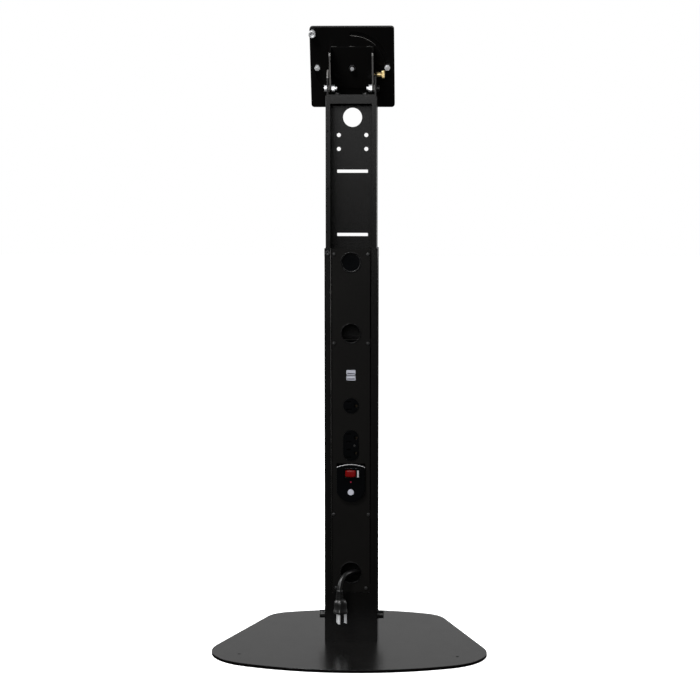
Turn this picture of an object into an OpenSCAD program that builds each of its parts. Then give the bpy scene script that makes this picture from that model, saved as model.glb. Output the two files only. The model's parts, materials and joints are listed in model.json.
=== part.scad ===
// Floor stand for a display or payment terminal: a steel base plate, a lower
// column with a built-in power strip, an upper column that slides in it, and a
// tilting head with a quarter-turn mounting plate.
// The service side faces -Y, the screen side faces +Y, and Z is up.

/* [Base plate] */
// Depth of the plate from its service edge to its screen edge
base_depth = 405.6; // [380:0.1:440]
// Width across the slanting sides at mid depth
base_mid_w = 393; // [360:1:420]
// Angle of the slanting sides from Y
base_taper = 17.5; // [12:0.5:20]
// Thickness of the plate
base_t = 5; // [4:0.5:8]
// Radius of the bowed service edge
base_near_r = 400; // [350:10:700]
// Radius of the bowed screen edge
base_far_r = 323; // [280:1:600]
// Radius of the two service corners
base_near_corner = 94; // [60:1:100]
// Radius of the two screen corners
base_far_corner = 50; // [30:1:60]
// Distance between the two anchor holes
anchor_gap = 343; // [320:1:350]
// Distance of the anchor holes from mid depth
anchor_y = -112; // [-120:1:-100]

/* [Columns] */
// Outside width of the lower column
low_w = 84.6; // [80:0.1:90]
// Outside depth of the lower column
low_d = 55; // [50:1:60]
// Y of the lower column's service face
low_y = -22; // [-30:1:-15]
// Height of the lower column's top edge
low_top = 639; // [600:1:680]
// Outside width of the upper column
up_w = 81; // [76:0.1:81]
// Height of the upper column's top
up_top = 879; // [840:1:900]
// Height of the upper column's lower end
up_bottom = 489; // [470:1:500]
// Sheet thickness of both columns
sheet = 1.5; // [1.2:0.1:2]
// Width of the window in the lower column's service side
window_w = 62.6; // [60:0.1:64]
// Height of the window's sill
window_z = 85; // [80:1:90]

/* [Head] */
// Lean of the head from upright, with its top towards the service side
tilt = 21.7; // [0:0.1:40]
// Side of the square head plates
plate_side = 134; // [120:1:140]
// Height of the tilt axis
hinge_z = 891.5; // [889:0.5:894]
// Distance from the tilt axis to the head plate
hinge_to_plate = 28; // [28:0.5:34]
// Height of the plates' centre above the tilt axis, along the plates
plate_rise = 25.2; // [22:0.1:28]
// Radius of the circle of the two turn slots
turn_r = 55.8; // [54:0.1:57]

/* [Power strip] */
// Height of the single outlet
outlet_z = 388; // [380:1:395]
// Height of the paired outlets' centre
pair_z = 323.8; // [320:0.1:328]
// Distance between the paired outlets
pair_gap = 25; // [24:0.1:27]
// Height of the USB ports' centre
usb_z = 437; // [430:1:445]
// Height of the centre of the surge unit's round end
surge_z = 257.4; // [250:0.1:260]

/* [Hidden] */
$fn = 64;

eps = 0.01;
slip = 0.05;                                    // radial clearance of a fastener in its hole
black = [0.09, 0.09, 0.095];
dark = [0.2, 0.2, 0.21];
zinc = [0.75, 0.76, 0.78];

// Columns
low_in_x = low_w / 2 - sheet;
low_front = low_y + low_d;
lip_in = low_y + sheet;                         // inner face of the lower column's lips
up_y = low_y + 3.8;                             // service face of the upper column
up_front = low_front - sheet - 0.3;
up_lip = 7.5;
mid_y = (up_y + up_front) / 2;                  // Y of the upper column's middle

cable_hole_z = 846.4;
small_r = 3.25;
small_x = 22;
small_z = [796.1, 818.3];
strap_z = [659.2, 760.6];
strap_w = 49.4;
strap_h = 5;
lip_hole_z = [733.5, 824];

// Service panel: it lies on joggled tabs behind the lips
panel_t = 1.2;
panel_w = window_w - 2.4;
panel_back = lip_in + 1;
panel_y = panel_back - panel_t;
panel_top = low_top - 1;
panel_bottom = window_z + 0.6;
tab_t = 1;
tab_rows = [[27, 630], [27, 488], [28, 212], [24, 92]];   // X and Z of each pair of panel screws
tab_h = 12;
blank_z = 617;
blank_r = 15.8;
port_z = 504;
port_r = 15.6;
cord_hole_z = 117.3;
cord_hole_r = 17.2;
lock_x = -37;
lock_z = 632;

// Base fastening
side_z = 43.5;
side_y = 5.5;
side_r = 4;
foot_in_x = low_in_x - 0.3;
foot_t = 4;
foot_top = 70;
foot_y = [-14, 25];
foot_xy = [20, 10.5];

// Power strip
strip_x = 23;
strip_back_y = 16;
strip_top = 455;
strip_bottom = 295.6;
surge_x = 22.4;
surge_r = 24;
surge_top = 294.2;
surge_sag = 4.5;
surge_out = low_y - 4;
rocker_z = 279;
rocker_w = 17.8;
rocker_h = 11.8;
rocker_gap = 0.8;
rocker_pin = 1.5;
rocker_lean = 6;                                // tilt of the rocker, pressed to its left
rocker_pivot_y = surge_out + 4;
bezel = [-11.6, 15.4];                          // left and right edges of the rocker's frame
bezel_out = surge_out - 1;
led_z = 265.5;
led_r = 1.2;
badge_z = 249;
badge_r = 4.9;
wall = 2;
outlet_r = 12.2;
insert_y = [low_y - 0.2, panel_back + 12];      // depth of the outlets' blocks
insert_lip = [panel_back + 0.1 + wall, panel_back + 5];
usb_w = 14.4;
usb_h = 7.4;
usb_rows = [usb_z - 4.5, usb_z + 4.5];
tray_y = strip_back_y + 2.2;
tray_t = 1.2;
tray_z = [206, 494];
relief_y = -2;
relief_z = 202;

// Head
plate_t = 2.5;
vesa_t = 3;
vesa_r = 2.25;
turn_gap = 1;
web_t = 2.5;
head_rear = hinge_to_plate;
head_front = head_rear + plate_t;
vesa_rear = head_front + turn_gap;
vesa_front = vesa_rear + vesa_t;
flange_in = 32.5;
flange_t = 2.5;
ear_in = 36.6;
ear_t = 2.5;
ear_r = 14;
ear_y = [mid_y - ear_r, mid_y + ear_r];
ear_top = 921.5;
ear_base_t = 2.5;
hinge_r = 3;
web_z = [-8.5, 59.5];
clamp_z = 913.3;
slot_w = 7.5;
guide_r = 2.5;
turn_lock = [-62.5, 57];

// Power lead: the stretches outside the hank, each point chosen by hand
cord_r = 3.8;
lead_route = [
    [0, -2, 202], [-0.5, 0, 190], [-2, 6, 179], [-4, 12, 172], [-6, 18.5, 165],
    [-10, 24.5, 154], [-14.5, 26.5, 142], [-19, 26.5, 130], [-22.5, 26.5, 118]
];
tail_route = [
    [23, 6, 93], [21.6, 4.2, 104.1], [17.7, -0.7, 112.4], [11.9, -8, 117.2], [3, -19.2, 118],
    [-5.9, -30.5, 117.2], [-11.7, -37.7, 112.4], [-15.6, -42.7, 104.1], [-17, -44.5, 94]
];
hank_fold = 23;                                 // radius of the hank's folds
hank_low = 36;                                  // height of the lower folds' centre
hank_high = 112;                                // height of the upper folds' centre
hank_y = [6, 26.5];                             // last and first layer of turns
plug_at = [-15.5, -44.5];
plug_turn = 38;
plug_z = [56, 79];

// ---------- general shapes ----------

// Points of an arc about c from angle a0 to a1
function arc(c, r, a0, a1, n) = [for (i = [0:n]) let (a = a0 + (a1 - a0) * i / n) c + r * [cos(a), sin(a)]];
function angle_of(v) = atan2(v.y, v.x);

module box(x, y, z) {
    translate([x[0], y[0], z[0]]) cube([x[1] - x[0], y[1] - y[0], z[1] - z[0]]);
}

// A cylinder along Y, from y0 to y1
module y_rod(r, y0, y1, x = 0, z = 0) {
    translate([x, y1, z]) rotate([90, 0, 0]) cylinder(r = r, h = y1 - y0);
}

// A cylinder along X, from x0 to x1
module x_rod(r, x0, x1, y = 0, z = 0) {
    translate([x0, y, z]) rotate([0, 90, 0]) cylinder(r = r, h = x1 - x0);
}

// An outline drawn in X and Z, with a depth along Y from y0 to y1
module y_plate(y0, y1) {
    translate([0, y1, 0]) rotate([90, 0, 0]) linear_extrude(y1 - y0) children();
}

// A rectangle with round corners, made without hull so that its arcs stay exact
module rounded_square(w, h, r) {
    square([w - 2 * r, h], center = true);
    square([w, h - 2 * r], center = true);
    for (x = [-1, 1], y = [-1, 1]) translate([x * (w / 2 - r), y * (h / 2 - r)]) circle(r = r);
}

// An obround along X, of overall length w and height h
module obround(w, h) {
    square([w - h, h], center = true);
    for (x = [-1, 1]) translate([x * (w - h) / 2, 0]) circle(r = h / 2);
}

// A hexagon nut with a hole, standing on z = 0
module nut(across, h, hole_r) {
    difference() {
        cylinder(r = across / 2 / cos(30), h = h, $fn = 6);
        translate([0, 0, -1]) cylinder(r = hole_r, h = h + 2);
    }
}

// A cap screw along -Z with its head above z = 0
module cap_screw(r, length, head_r, head_h, socket) {
    difference() {
        union() {
            cylinder(r = head_r, h = head_h);
            translate([0, 0, -length]) cylinder(r = r, h = length + eps);
        }
        translate([0, 0, head_h * 0.45]) cylinder(r = socket / 2 / cos(30), h = head_h, $fn = 6);
    }
}

// A tube swept along its route, with a ring of eight points at each route point
module swept_tube(route, r) {
    sides = 8;
    last = len(route) - 1;
    unit = function (v) v / norm(v);
    along = [for (i = [0:last]) unit(route[min(i + 1, last)] - route[max(i - 1, 0)])];
    side = [for (t = along) unit(cross(t, abs(t.z) > 0.9 ? [1, 0, 0] : [0, 0, 1]))];
    // each ring's first direction is carried on from the ring before it
    carried = function (i) i == 0 ? side[0] : let (p = carried(i - 1)) unit(p - (p * along[i]) * along[i]);
    rings = [for (i = [0:last]) let (u = carried(i), v = cross(along[i], u))
        for (k = [0:sides - 1]) route[i] + r * (cos(360 * k / sides) * u + sin(360 * k / sides) * v)];
    caps = [[for (k = [0:sides - 1]) k], [for (k = [sides - 1:-1:0]) last * sides + k]];
    walls = [for (i = [0:last - 1], k = [0:sides - 1]) let (m = (k + 1) % sides)
        [i * sides + k, (i + 1) * sides + k, (i + 1) * sides + m, i * sides + m]];
    polyhedron(points = rings, faces = concat(caps, walls));
}

// ---------- base ----------

side_n = [cos(base_taper), sin(base_taper)];
side_d = base_mid_w / 2 * cos(base_taper);

// Centre of a corner circle that touches the bowed edge from inside and the slanting side
function corner_centre(edge_c, edge_r, r, sign) =
    let (t = [-side_n.y, side_n.x], b = (side_d - r) * side_n, q = b - edge_c, k = t * q)
    b + (sign * sqrt(k * k - q * q + (edge_r - r) * (edge_r - r)) - k) * t;

module base_outline() {
    near_c = [0, base_near_r - base_depth / 2];
    far_c = [0, base_depth / 2 - base_far_r];
    near_corner = corner_centre(near_c, base_near_r, base_near_corner, -1);
    far_corner = corner_centre(far_c, base_far_r, base_far_corner, 1);
    near_end = angle_of(near_corner - near_c);
    far_end = angle_of(far_corner - far_c);
    right = concat(
        arc(near_c, base_near_r, -90, near_end, 14),
        arc(near_corner, base_near_corner, near_end, base_taper, 18),
        arc(far_corner, base_far_corner, base_taper, far_end, 14),
        arc(far_c, base_far_r, far_end, 90, 14)
    );
    left = [for (i = [len(right) - 2:-1:1]) [-right[i].x, right[i].y]];
    polygon(concat(right, left));
}

module base_plate() {
    color(black) difference() {
        linear_extrude(base_t) base_outline();
        for (x = [-1, 1]) translate([x * anchor_gap / 2, anchor_y, -1]) cylinder(r = 2.5, h = base_t + 2);
        for (x = [-1, 1], y = [-1, 1]) translate([x * foot_xy.x, side_y + y * foot_xy.y, 0]) {
            translate([0, 0, -1]) cylinder(r = 3 + slip, h = base_t + 2);
            translate([0, 0, -eps]) cylinder(r1 = 6.6, r2 = 3, h = 3.6);
        }
    }
}

// Upright bracket inside the foot of the lower column
module foot_bracket() {
    color(black) difference() {
        union() {
            box([-foot_in_x, foot_in_x], foot_y, [base_t, base_t + foot_t]);
            for (m = [0, 1]) mirror([m, 0, 0])
                box([foot_in_x - foot_t, foot_in_x], foot_y, [base_t, foot_top]);
        }
        for (x = [-1, 1], y = [-1, 1]) translate([x * foot_xy.x, side_y + y * foot_xy.y, 0])
            cylinder(r = 3 + slip, h = 20);
        x_rod(side_r + slip, -60, 60, side_y, side_z);
    }
}

module foot_screws() {
    color(zinc) for (x = [-1, 1], y = [-1, 1]) translate([x * foot_xy.x, side_y + y * foot_xy.y, 0.2])
        difference() {
            union() {
                cylinder(r1 = 6.3, r2 = 3, h = 3.3);
                cylinder(r = 3, h = base_t + foot_t - 0.2);
            }
            translate([0, 0, -1]) cylinder(r = 2 / cos(30), h = 3, $fn = 6);
        }
}

module side_bolts() {
    color(black) for (m = [0, 1]) mirror([m, 0, 0])
        translate([low_w / 2 + 1.6, side_y, side_z]) rotate([0, 90, 0])
            cap_screw(side_r, low_w / 2 + 1.6 - foot_in_x + foot_t, 6.5, 8, 6);
}

module side_washers() {
    color(black) for (m = [0, 1]) mirror([m, 0, 0]) difference() {
        x_rod(7.5, low_w / 2, low_w / 2 + 1.6, side_y, side_z);
        x_rod(side_r + slip, low_w / 2 - 1, low_w / 2 + 3, side_y, side_z);
    }
}

// ---------- lower column and its service panel ----------

module lower_column() {
    color(black) difference() {
        box([-low_w / 2, low_w / 2], [low_y, low_front], [base_t, low_top]);
        box([-low_in_x, low_in_x], [low_y + sheet, low_front - sheet], [base_t - 1, low_top + 1]);
        box([-window_w / 2, window_w / 2], [low_y - 1, low_y + sheet + 1], [window_z, low_top + 1]);
        x_rod(side_r + slip, -60, 60, side_y, side_z);
        y_rod(2 + slip, low_y - 1, low_y + 3, lock_x, lock_z);
    }
}

// Outline of the surge unit: straight sides between a round lower end and a slightly arched top
module surge_outline(grow) {
    half = surge_x + grow;
    arch_r = (surge_x * surge_x + surge_sag * surge_sag) / (2 * surge_sag);
    intersection() {
        translate([-half, surge_z - 2 * half]) square([2 * half, 4 * half]);
        translate([0, surge_top - arch_r]) circle(r = arch_r + grow, $fn = 160);
        union() {
            translate([0, surge_z]) circle(r = surge_r + grow);
            translate([-half, surge_z]) square([2 * half, 2 * half]);
        }
    }
}

module pair_outline(grow) {
    translate([0, pair_z]) rotate(90) obround(pair_gap + 2 * (outlet_r + grow), 2 * (outlet_r + grow));
}

module panel_screw_holes(rows) {
    for (row = rows, side = [-1, 1]) y_rod(1.5 + slip, -40, 0, side * row.x, row.y);
}

module service_panel() {
    color(black) difference() {
        box([-panel_w / 2, panel_w / 2], [panel_y, panel_back], [panel_bottom, panel_top]);
        y_rod(blank_r, -40, 0, 0, blank_z);
        y_rod(port_r, -40, 0, 0, port_z);
        y_rod(cord_hole_r, -40, 0, 0, cord_hole_z);
        y_rod(outlet_r + 0.5, -40, 0, 0, outlet_z);
        y_plate(-40, 0) pair_outline(0.5);
        y_plate(-40, 0) surge_outline(0.4);
        box([-surge_x - 0.4, surge_x + 0.4], [-40, 0], [surge_z, surge_top + 0.6]);
        usb_blocks([-40, 0], 0.3);
        panel_screw_holes(tab_rows);
    }
}

// Joggled tabs, spot-welded behind the lips, that the panel and the strip's tray screw to
module panel_tabs() {
    out = 34.5;
    step = window_w / 2 + 0.2;
    in = 20;
    color(black) for (row = tab_rows, m = [0, 1]) mirror([m, 0, 0]) difference() {
        translate([0, 0, row.y - tab_h / 2]) linear_extrude(tab_h) polygon([
            [out, lip_in], [step, lip_in], [step - 0.8, panel_back], [in, panel_back],
            [in, panel_back + tab_t], [step + 0.4, panel_back + tab_t],
            [step + 1.2, lip_in + tab_t], [out, lip_in + tab_t]
        ]);
        panel_screw_holes([row]);
    }
}

module panel_screws() {
    color(dark) for (row = tab_rows, side = [-1, 1])
        translate([side * row.x, panel_y, row.y]) rotate([90, 0, 0]) cap_screw(1.5, 5, 2.8, 1.7, 2);
}

// Dished plug that closes the top cable hole
module blanking_disc() {
    color(black) difference() {
        union() {
            y_rod(blank_r + 0.8, panel_y - 1, panel_y, 0, blank_z);
            y_rod(blank_r - slip, panel_y - 0.5, panel_back + 3, 0, blank_z);
        }
        y_rod(blank_r - 1.2, panel_y - 3, panel_y + 1.4, 0, blank_z);
        y_rod(blank_r - 1.4, panel_back + 1.6, panel_back + 5, 0, blank_z);
    }
}

// Flanged ring in a hole of the panel
module grommet(hole_r, inner_r) {
    difference() {
        union() {
            y_rod(hole_r + 0.8, panel_y - 1, panel_y);
            y_rod(hole_r - slip, panel_y - 0.5, panel_back + 2);
            y_rod(hole_r + 0.8, panel_back, panel_back + 2);
        }
        y_rod(inner_r, panel_y - 3, panel_back + 5);
    }
}

module cable_grommet() {
    color(black) translate([0, 0, port_z]) grommet(port_r, 14.8);
}

module cord_grommet() {
    color(black) translate([0, 0, cord_hole_z]) grommet(cord_hole_r, 16.4);
}

module height_lock_screw() {
    color(dark) translate([lock_x, low_y, lock_z]) rotate([90, 0, 0])
        cap_screw(2, up_y - low_y - slip, 3.6, 2.2, 2.5);
}

// ---------- power strip ----------

// Sheet tray that carries the strip, screwed behind the panel's tabs
module strip_tray() {
    x = 24;
    foot_x = 31;
    front = panel_back + tab_t;
    color(black) difference() {
        union() {
            box([-x, x], [tray_y, tray_y + tray_t], tray_z);
            for (e = [[tray_z[0], tray_z[0] + tray_t], [tray_z[1] - tray_t, tray_z[1]]])
                box([-x, x], [front + tray_t - eps, tray_y + eps], e);
            for (e = [[tray_z[0], tray_z[0] + tab_h], [tray_z[1] - tab_h, tray_z[1]]], m = [0, 1])
                mirror([m, 0, 0]) box([19, foot_x], [front, front + tray_t], e);
        }
        panel_screw_holes([tab_rows[1], tab_rows[2]]);
        translate([0, relief_y, tray_z[0] - 1]) cylinder(r = 7, h = 10);
    }
}

module strip_housing() {
    y0 = panel_back + 0.1;
    color([0.07, 0.07, 0.07]) difference() {
        box([-strip_x, strip_x], [y0, strip_back_y], [strip_bottom, strip_top]);
        box([wall - strip_x, strip_x - wall], [y0 + wall, strip_back_y + 1],
            [strip_bottom - 1, strip_top - wall]);
        y_rod(outlet_r + slip, -40, 0, 0, outlet_z);
        y_plate(-40, 0) pair_outline(slip);
        usb_blocks([-40, 0], slip);
    }
}

module strip_back() {
    color([0.07, 0.07, 0.07]) {
        box([-strip_x, strip_x], [strip_back_y, strip_back_y + 2], [surge_z, strip_top]);
        y_rod(strip_x, strip_back_y, strip_back_y + 2, 0, surge_z);
    }
}

// Switch and surge unit at the strip's lower end, standing out of the panel
module surge_head() {
    color([0.03, 0.03, 0.03]) difference() {
        union() {
            y_plate(surge_out, strip_back_y) surge_outline(0);
            box(bezel, [bezel_out, surge_out + 1], [rocker_z - 8.6, rocker_z + 8.6]);
            box([10.2, 12.8], [bezel_out - 0.8, surge_out], [rocker_z - 5.6, rocker_z + 5.6]);
        }
        difference() {
            y_plate(surge_out + wall, strip_back_y + 1) surge_outline(-wall);
            box([-4, 4], [surge_out, surge_out + wall + 5], [rocker_z - 8.8, rocker_z + 8.8]);
        }
        translate([0, rocker_pivot_y, rocker_z - 8.2]) cylinder(r = rocker_pin + slip, h = 16.4);
        box([-rocker_w / 2 - rocker_gap, rocker_w / 2 + rocker_gap], [-40, 0],
            [rocker_z - rocker_h / 2 - rocker_gap, rocker_z + rocker_h / 2 + rocker_gap]);
        y_rod(led_r + slip, -40, 0, 0, led_z);
        y_rod(badge_r + slip, -40, surge_out + 0.8, 0, badge_z);
        translate([0, relief_y, 225]) cylinder(r = 5.5, h = 20);
    }
}

module led_lens() {
    color("red") {
        y_rod(led_r, surge_out - 0.4, surge_out + wall, 0, led_z);
        y_rod(led_r + 0.8, surge_out + wall, surge_out + 3.5, 0, led_z);
    }
}

module badge_disc() {
    color([0.85, 0.86, 0.9]) y_rod(badge_r, surge_out - 0.3, surge_out + 0.8, 0, badge_z);
}

// Rocker on a vertical axis, with its left half pressed in
module power_rocker() {
    half = rocker_w / 2;
    color([0.75, 0.05, 0.03]) translate([0, rocker_pivot_y, rocker_z - rocker_h / 2])
        rotate(-rocker_lean) linear_extrude(rocker_h) polygon([
            [-half, -5.6], [0.8 - half, -6], [0, -5.2], [half - 0.8, -6], [half, -5.6],
            [half - 1.5, -0.5], [4, 3], [-4, 3], [1.5 - half, -0.5]
        ]);
    color([0.75, 0.05, 0.03]) translate([0, rocker_pivot_y, rocker_z - rocker_h / 2 - 2])
        cylinder(r = rocker_pin, h = rocker_h + 4);
}

// Three slots of one grounded outlet, with the two flat ones level, to be cut out
module outlet_slots(z) {
    y_plate(-40, 0) translate([0, z]) {
        translate([-3.5, 6.35]) square([6.4, 1.9], center = true);
        translate([-3.5, -6.35]) square([8, 1.9], center = true);
        translate([8.2, 0]) circle(r = 2.5);
        translate([6.9, 0]) square([2.6, 5], center = true);
    }
}

module outlet_single() {
    color([0.05, 0.05, 0.05]) difference() {
        union() {
            y_rod(outlet_r, insert_y[0], insert_y[1], 0, outlet_z);
            y_rod(outlet_r + 2, insert_lip[0], insert_lip[1], 0, outlet_z);
        }
        outlet_slots(outlet_z);
    }
}

module outlet_pair() {
    color([0.05, 0.05, 0.05]) difference() {
        union() {
            y_plate(insert_y[0], insert_y[1]) pair_outline(0);
            y_plate(insert_lip[0], insert_lip[1]) pair_outline(2);
        }
        outlet_slots(pair_z - pair_gap / 2);
        outlet_slots(pair_z + pair_gap / 2);
        y_rod(1.2 + slip, -40, 0, 5.6, pair_z);
    }
}

module outlet_screw() {
    color(dark) translate([5.6, insert_y[0], pair_z]) rotate([90, 0, 0]) cap_screw(1.2, 14, 1.7, 0.8, 1.2);
}

// Outer blocks of the two USB ports, from y[0] to y[1], larger all round by grow
module usb_blocks(y, grow) {
    x = usb_w / 2 + grow;
    h = usb_h / 2 + grow;
    for (z = usb_rows) box([-x, x], y, [z - h, z + h]);
}

// Pale bodies of the two USB-A ports
module usb_ports() {
    color([0.8, 0.8, 0.8]) difference() {
        usb_blocks([low_y + 0.6, -6], 0);
        for (z = usb_rows) box([-6.1, 6.1], [low_y - 1, -9], [z - 2.6, z + 2.6]);
    }
}

module usb_tongues() {
    color([0.7, 0.7, 0.72]) for (z = usb_rows) box([-5.7, 5.7], [low_y + 1.2, -9], [z - 0.7, z + 2.2]);
}

module usb_board() {
    color([0.05, 0.3, 0.12]) box([-18, 18], [-5.8, -4.2], [usb_z - 14, usb_z + 14]);
}

module surge_board() {
    color([0.05, 0.3, 0.12]) box([-18, 18], [8, 9.6], [247, 283]);
}

// Surge-absorbing discs that stand on the board
module varistor_discs() {
    color([0.1, 0.2, 0.6]) for (x = [-11, 0, 11]) y_rod(5, 3, 7.9, x, 257);
}

// Line, neutral and ground bars behind the outlets
module bus_bars() {
    y = [insert_y[1] + 0.5, insert_y[1] + 1.3];
    color([0.8, 0.65, 0.3]) for (x = [-14, -3.5, 8.2]) box([x - 2, x + 2], y, [300, outlet_z + 10]);
}

// ---------- power lead ----------

// Tapered strain relief where the lead leaves the strip
module cord_relief() {
    color([0.06, 0.06, 0.06]) translate([0, relief_y, 0]) {
        translate([0, 0, 237.3]) cylinder(r = 7.5, h = 2);
        translate([0, 0, 225]) cylinder(r = 5.4, h = 13);
        translate([0, 0, relief_z]) cylinder(r1 = 4.6, r2 = 5.4, h = 23.5);
    }
}

module cord_lead() {
    color([0.12, 0.12, 0.12]) swept_tube(lead_route, cord_r);
}

// Outer shape of the hank of lead stored in the column's foot
module cord_hank() {
    w = hank_fold + cord_r;
    color([0.12, 0.12, 0.12]) y_plate(hank_y[0] - cord_r, hank_y[1] + cord_r)
        translate([0, (hank_low + hank_high) / 2]) rotate(90) obround(hank_high - hank_low + 2 * w, 2 * w);
}

// Cable tie round the hank's middle
module hank_tie() {
    z = (hank_low + hank_high) / 2;
    w = hank_fold + cord_r;
    y = [hank_y[0] - cord_r, hank_y[1] + cord_r];
    color([0.05, 0.05, 0.05]) difference() {
        box([-w - 0.8, w + 0.8], [y[0] - 0.8, y[1] + 0.8], [z - 2, z + 2]);
        box([-w, w], y, [z - 3, z + 3]);
    }
}

module cord_tail() {
    color([0.12, 0.12, 0.12]) swept_tube(tail_route, cord_r);
}

// Ribbed relief on the plug
module plug_relief() {
    end = tail_route[len(tail_route) - 1];
    color([0.06, 0.06, 0.06]) translate([end.x, end.y, 0]) {
        translate([0, 0, plug_z[1]]) cylinder(r1 = 6.2, r2 = 4.6, h = end.z - plug_z[1]);
        for (rise = [3, 7, 11]) translate([0, 0, plug_z[1] + rise]) cylinder(r = 6.2, h = 1.8);
    }
}

// Moulded plug body
module plug_body() {
    color([0.06, 0.06, 0.06]) translate([plug_at.x, plug_at.y, 0]) rotate(plug_turn) {
        translate([0, 0, plug_z[0]]) linear_extrude(plug_z[1] - plug_z[0] - 5) rounded_square(21, 20, 6);
        translate([0, 0, plug_z[1] - 5 - eps]) cylinder(r1 = 9.8, r2 = 6.6, h = 5 + eps);
    }
}

module plug_blades() {
    color(zinc) translate([plug_at.x, plug_at.y, 0]) rotate(plug_turn)
        for (x = [-6.35, 6.35]) box([x - 0.75, x + 0.75], [-7.6, -1.2], [plug_z[0] - 16, plug_z[0]]);
}

module plug_ground_pin() {
    color(zinc) translate([plug_at.x, plug_at.y, 0]) rotate(plug_turn) translate([0, 7.5, 0]) {
        translate([0, 0, plug_z[0] - 16]) cylinder(r = 2.4, h = 16);
        translate([0, 0, plug_z[0] - 18]) cylinder(r1 = 1.2, r2 = 2.4, h = 2.01);
    }
}

// ---------- upper column ----------

module upper_column() {
    half = up_w / 2;
    color(black) difference() {
        box([-half, half], [up_y, up_front], [up_bottom, up_top]);
        box([sheet - half, half - sheet], [up_y + sheet, up_front - sheet], [up_bottom - 1, up_top + 1]);
        box([up_lip - half, half - up_lip], [up_y - 1, up_y + sheet + 1], [up_bottom - 1, up_top + 1]);
        y_rod(15.25, up_front - 5, up_front + 5, 0, cable_hole_z);
        for (x = [-small_x, small_x], z = small_z) y_rod(small_r, up_front - 5, up_front + 5, x, z);
        for (z = strap_z) y_plate(up_front - 5, up_front + 5) translate([0, z])
            rounded_square(strap_w, strap_h, 1);
        for (x = [-1, 1], z = lip_hole_z) y_rod(1.25, up_y - 5, up_y + 5, x * (half - up_lip / 2), z);
    }
}

// Top plate with the lip that closes the service side's frame
module column_cap() {
    x = up_w / 2 - sheet;
    lip_x = up_w / 2 - up_lip;
    color(black) difference() {
        union() {
            box([-x, x], [up_y + sheet, up_front - sheet], [up_top - sheet, up_top]);
            box([-lip_x, lip_x], [up_y, up_y + sheet], [up_top - 12, up_top]);
        }
        cap_bolt_places() translate([0, 0, -10]) cylinder(r = 2.5 + slip, h = 20);
    }
}

module cap_bolt_places() {
    for (x = [-22, 22], y = [mid_y - 8, mid_y + 8]) translate([x, y, up_top]) children();
}

// ---------- head ----------

// Fixed fork on the upper column's top
module ear_bracket() {
    color(black) difference() {
        union() {
            box([-ear_in - ear_t, ear_in + ear_t], ear_y, [up_top, up_top + ear_base_t]);
            for (m = [0, 1]) mirror([m, 0, 0]) ear_wall();
        }
        x_rod(hinge_r + slip, -60, 60, mid_y, hinge_z);
        x_rod(2.5 + slip, 0, 60, mid_y, clamp_z);
        cap_bolt_places() translate([0, 0, -10]) cylinder(r = 2.5 + slip, h = 20);
    }
}

module ear_wall() {
    translate([ear_in, 0, 0]) rotate([90, 0, 90]) linear_extrude(ear_t) {
        translate([ear_y[0], up_top]) square([2 * ear_r, ear_top - ear_r - up_top]);
        translate([mid_y, ear_top - ear_r]) circle(r = ear_r);
    }
}

module cap_bolts() {
    color(dark) cap_bolt_places() translate([0, 0, ear_base_t]) cap_screw(2.5, 10, 4.5, 2.6, 3);
}

module cap_nuts() {
    color(dark) cap_bolt_places() translate([0, 0, -sheet - 4]) nut(8, 4, 2.5 + slip);
}

module hinge_bolts() {
    end = ear_in + ear_t;
    color(zinc) for (m = [0, 1]) mirror([m, 0, 0]) translate([end, mid_y, hinge_z]) rotate([0, 90, 0])
        cap_screw(hinge_r, end - flange_in + 9, 5, 4.6, 4);
}

module hinge_washers() {
    color([0.9, 0.9, 0.88]) for (m = [0, 1]) mirror([m, 0, 0]) difference() {
        x_rod(6, flange_in + flange_t + slip, ear_in, mid_y, hinge_z);
        x_rod(hinge_r + slip, 0, 60, mid_y, hinge_z);
    }
}

module hinge_nuts() {
    color(zinc) for (m = [0, 1]) mirror([m, 0, 0])
        translate([flange_in - slip - 5.5, mid_y, hinge_z]) rotate([0, 90, 0]) nut(10, 5.5, hinge_r + slip);
}

// Thumb screw in the right ear that clamps the tilt
module tilt_clamp_screw() {
    end = ear_in + ear_t;
    color([0.85, 0.72, 0.35]) {
        x_rod(2.5, flange_in + flange_t + 0.3, end + 1, mid_y, clamp_z);
        x_rod(4.15, end + slip, end + 9, mid_y, clamp_z);
        x_rod(6.3, end + 8.5, 52, mid_y, clamp_z);
    }
}

// Places children in the head's own frame: X across, Y away from the tilt axis, Z up the plates
module on_head() {
    translate([0, mid_y, hinge_z]) rotate([tilt, 0, 0]) children();
}

// The same, with Z at the centre of the plates
module on_plate() {
    on_head() translate([0, 0, plate_rise]) children();
}

// Channel bracket welded to the back of the head plate
module tilt_bracket() {
    x = flange_in + flange_t;
    color(black) on_head() difference() {
        union() {
            box([-x, x], [head_rear - web_t, head_rear], web_z);
            for (m = [0, 1]) mirror([m, 0, 0]) translate([flange_in, 0, 0]) rotate([90, 0, 90])
                linear_extrude(flange_t) {
                    circle(r = 8.5);
                    polygon([[-8.5, 0], [0, -8.5], [head_rear - eps, -8.5], [head_rear - eps, web_z[1]],
                        [-5, 60.5], [-8.5, 57]]);
                }
        }
        x_rod(hinge_r + slip, -60, 60);
        y_rod(3 + slip, head_rear - 10, head_rear + 10, 0, plate_rise);
    }
}

// A quarter-turn slot about the plate's centre, from angle a to a + 90
module turn_slot(a) {
    steps = 12;
    half = slot_w / 2;
    outer = arc([0, 0], turn_r + half, a, a + 90, steps);
    inner = arc([0, 0], turn_r - half, a + 90, a, steps);
    polygon(concat(outer, inner));
    for (b = [a, a + 90]) rotate(b) translate([turn_r, 0]) circle(r = half);
}

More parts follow.
